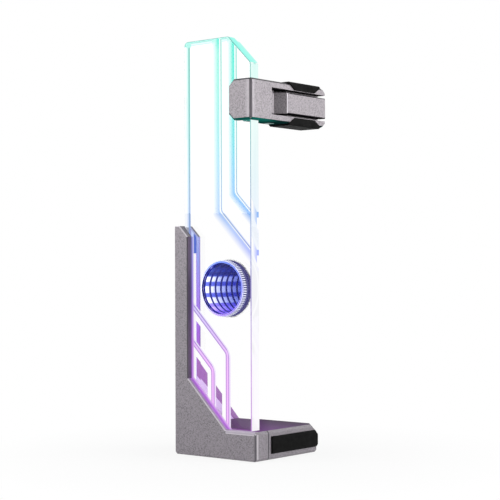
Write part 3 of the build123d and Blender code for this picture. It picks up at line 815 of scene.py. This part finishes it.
def mirror_material():
    """Mirror at the back of the ring."""
    material, tree = new_tree("ring_mirror")
    shader = node(tree, "BsdfGlossy", {"Color": mirror_tint, "Roughness": 0.0})
    finish_tree(tree, shader.outputs[0])
    return material


def window_material():
    """Clear window of the ring."""
    material, tree = new_tree("window")
    clear = node(tree, "BsdfTransparent", {0: grey(1.0)})
    gloss = node(tree, "BsdfGlossy", {"Color": grey(1.0), "Roughness": 0.02})
    fresnel = node(tree, "Fresnel", {"IOR": 1.2})
    shader = node(tree, "MixShader", {0: fresnel.outputs[0], 1: clear.outputs[0], 2: gloss.outputs[0]})
    finish_tree(tree, shader.outputs[0])
    return material


def half_mirror_material():
    """Film behind the window: clear from the front, a mirror from inside the ring."""
    material, tree = new_tree("half_mirror")
    clear = node(tree, "BsdfTransparent", {0: grey(1.0)})
    gloss = node(tree, "BsdfGlossy", {"Color": mirror_tint, "Roughness": 0.0})
    outside = node(tree, "NewGeometry").outputs["Backfacing"]
    shader = node(tree, "MixShader", {0: outside, 1: gloss.outputs[0], 2: clear.outputs[0]})
    finish_tree(tree, shader.outputs[0])
    return material


materials = {
    "body_metal": painted_metal("body_metal", colour(104, 99, 105), colour(153, 147, 154), 2235, 1464,
                                lit_housing),
    "arm_metal": painted_metal("arm_metal", colour(103, 98, 103), colour(160, 154, 159), 2275, 1490,
                               lit_arm),
    "clear_panel": panel_material(),
    "rubber_black": rubber(),
    "steel": plain_metal("steel", (0.6, 0.6, 0.61, 1.0), 0.2, 0.34, 1500),
    "ring_metal": ring_metal_material(),
    "window": window_material(),
    "ring_glow": ring_glow_material(),
    "ring_mirror": mirror_material(),
    "dark_plastic": plastic("dark_plastic", grey(0.018), grey(0.034), 1800, 0.45),
    "strip_film": plastic("strip_film", grey(0.7), grey(0.8), 900, 0.4),
    "led": lit_film("led", 2.5),
    "board": plastic("board", (0.01, 0.06, 0.03, 1.0), (0.015, 0.1, 0.05, 1.0), 700, 0.35),
    "magnet": plain_metal("magnet", (0.62, 0.61, 0.6, 1.0), 0.15, 0.25, 900),
}

for part in frame["record"]["subparts"]:
    shown = frame["nodes"][part["node"]]
    shown.data.materials.clear()
    shown.data.materials.append(materials[part["material_slot"]])


def mesh_object(name, points, faces, material, smooth=True):
    """A new mesh object with one material."""
    mesh = bpy.data.meshes.new(name)
    mesh.from_pydata(points, [], faces)
    mesh.validate()
    made = bpy.data.objects.new(name, mesh)
    scene.collection.objects.link(made)
    mesh.materials.append(material)
    for polygon in mesh.polygons:
        polygon.use_smooth = smooth
    return made


def around_ring(radius, y, angle):
    """A point round the ring's middle, in metres, from millimetres and an angle."""
    reach = radius * MM
    return ring_middle.x + reach * math.cos(angle), y * MM, ring_middle.z + reach * math.sin(angle)


def half_mirror():
    """Mirror film on the back of the ring's window, a sheet without thickness."""
    steps = 120
    points = [around_ring(film_radius, lens_back + film_gap, -2 * math.pi * number / steps)
              for number in range(steps)]
    made = mesh_object("ring_half_mirror", points, [tuple(range(steps))], half_mirror_material(), False)
    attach(made, "base")


def knurled_ring():
    """The ring's metal body with a fine knurl on the part that stands out of the panel."""
    knurl_top, bore = ring_radius - knurl_inset, ring_radius - ring_wall
    lip_back = ring_front + lip_thickness
    # The section as (radius, y, share of the knurl's depth)
    profile = [(window_radius, ring_front, 0.0), (ring_radius - ring_edge, ring_front, 0.0),
               (knurl_top, ring_front + ring_edge, 1.0), (knurl_top, front - knurl_end, 1.0),
               (ring_radius, front, 0.0), (ring_radius, ring_back, 0.0), (bore, ring_back, 0.0),
               (bore, lip_back, 0.0), (window_radius, lip_back, 0.0)]
    steps = 2 * knurl_count
    count = len(profile)
    points = []
    for number in range(steps):
        angle = 2 * math.pi * number / steps
        points += [around_ring(radius - knurl_depth * share * (number % 2), y, angle)
                   for radius, y, share in profile]
    faces = []
    for number in range(steps):
        here, there = number * count, (number + 1) % steps * count
        for spot in range(count):
            following = (spot + 1) % count
            faces.append((here + spot, here + following, there + following, there + spot))
    made = mesh_object("ring_bezel_knurled", points, faces, materials["ring_metal"])
    made.data.set_sharp_from_angle(angle=math.radians(25))
    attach(made, "base")
    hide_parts("ring_bezel")


def camera():
    """The camera as the photograph's perspective gives it."""
    data = bpy.data.cameras.new("camera")
    data.sensor_width = sensor_width
    data.lens = focal_pixels / photo_width * sensor_width
    data.shift_y = horizon_drop / photo_width
    data.shift_x = -axis_shift / photo_width
    data.clip_start = 0.01
    made = bpy.data.objects.new("camera", data)
    turn = camera_direction.to_track_quat("-Z", "Y").to_matrix().to_4x4()
    made.matrix_world = Matrix.Translation(camera_place) @ turn @ Matrix.Rotation(camera_roll, 4, "Z")
    scene.collection.objects.link(made)
    scene.camera = made


def softbox(name, place_at, target, width, height, power):
    """An area lamp that faces a point. Neither the camera nor the glass shows the lamp itself."""
    data = bpy.data.lights.new(name, "AREA")
    data.shape = "RECTANGLE"
    data.size = width
    data.size_y = height
    data.energy = power
    made = bpy.data.objects.new(name, data)
    made.location = place_at
    made.rotation_euler = (Vector(target) - Vector(place_at)).to_track_quat("-Z", "Y").to_euler()
    made.visible_camera = False
    made.visible_transmission = False
    scene.collection.objects.link(made)


# The side of the studio that mirrors show darker
near_side_direction = (0.632, -0.774, 0.0)


def backdrop_share(tree):
    """Two masks: 1 for rays that see the background straight or through glass, and 1 for mirrored rays."""
    rays = node(tree, "LightPath").outputs
    direct = calc(tree, "MAXIMUM", rays["Is Camera Ray"], rays["Is Transmission Ray"])
    return direct, rays["Is Glossy Ray"]


def white_world():
    """White background. In mirrors it is white behind the object and darker on the near side."""
    world = bpy.data.worlds.new("studio")
    scene.world = world
    world.use_nodes = True
    tree = world.node_tree
    tree.nodes.clear()
    direct, glossy = backdrop_share(tree)
    towards = node(tree, "TexCoord").outputs["Generated"]
    nearness = node(tree, "VectorMath", {0: towards, 1: near_side_direction}, operation="DOT_PRODUCT")
    darkened = level(tree, nearness.outputs["Value"], 0.2, 0.97, 1.0, 0.12)
    around = node(tree, "Background", {0: grey(1.0), 1: 0.35})
    seen = node(tree, "Background", {0: grey(1.0), 1: 1.0})
    mirrored = node(tree, "Background", {0: darkened, 1: 1.0})
    first = node(tree, "MixShader", {0: glossy, 1: around.outputs[0], 2: mirrored.outputs[0]})
    second = node(tree, "MixShader", {0: direct, 1: first.outputs[0], 2: seen.outputs[0]})
    node(tree, "OutputWorld", {0: second.outputs[0]})


def floor():
    """Pale floor that shows white and keeps a faint shadow of the object."""
    material, tree = new_tree("floor")
    direct, glossy = backdrop_share(tree)
    matt = node(tree, "BsdfDiffuse", {"Color": grey(0.8)})
    white = node(tree, "Emission", {"Color": grey(1.0), "Strength": 1.0})
    away = node(tree, "VectorMath", {0: node(tree, "TexCoord").outputs["Object"]}, operation="LENGTH")
    near_object = level(tree, away.outputs["Value"], 0.05, 0.16, 0.88, 1.0)
    share = calc(tree, "MULTIPLY", calc(tree, "MAXIMUM", direct, glossy), near_object)
    shader = node(tree, "MixShader", {0: share, 1: matt.outputs[0], 2: white.outputs[0]})
    finish_tree(tree, shader.outputs[0])
    reach = 3.0
    points = [(-reach, -reach, 0), (reach, -reach, 0), (reach, reach, 0), (-reach, reach, 0)]
    made = mesh_object("floor", points, [(0, 1, 2, 3)], material, False)


knurled_ring()
half_mirror()
camera()
white_world()
floor()
softbox("softbox_left", (-0.5, -0.55, 0.4), (0, 0, 0.14), 0.6, 0.5, 2.8)
softbox("softbox_right", (0.65, 0.35, 0.4), (0, 0, 0.14), 0.6, 0.5, 4.0)
softbox("softbox_top", (0.0, -0.1, 0.9), (0, 0, 0.12), 0.8, 0.8, 1.5)

scene.view_settings.view_transform = "Standard"
scene.cycles.max_bounces = 24
scene.cycles.glossy_bounces = 16
scene.cycles.transmission_bounces = 16
scene.cycles.transparent_max_bounces = 24
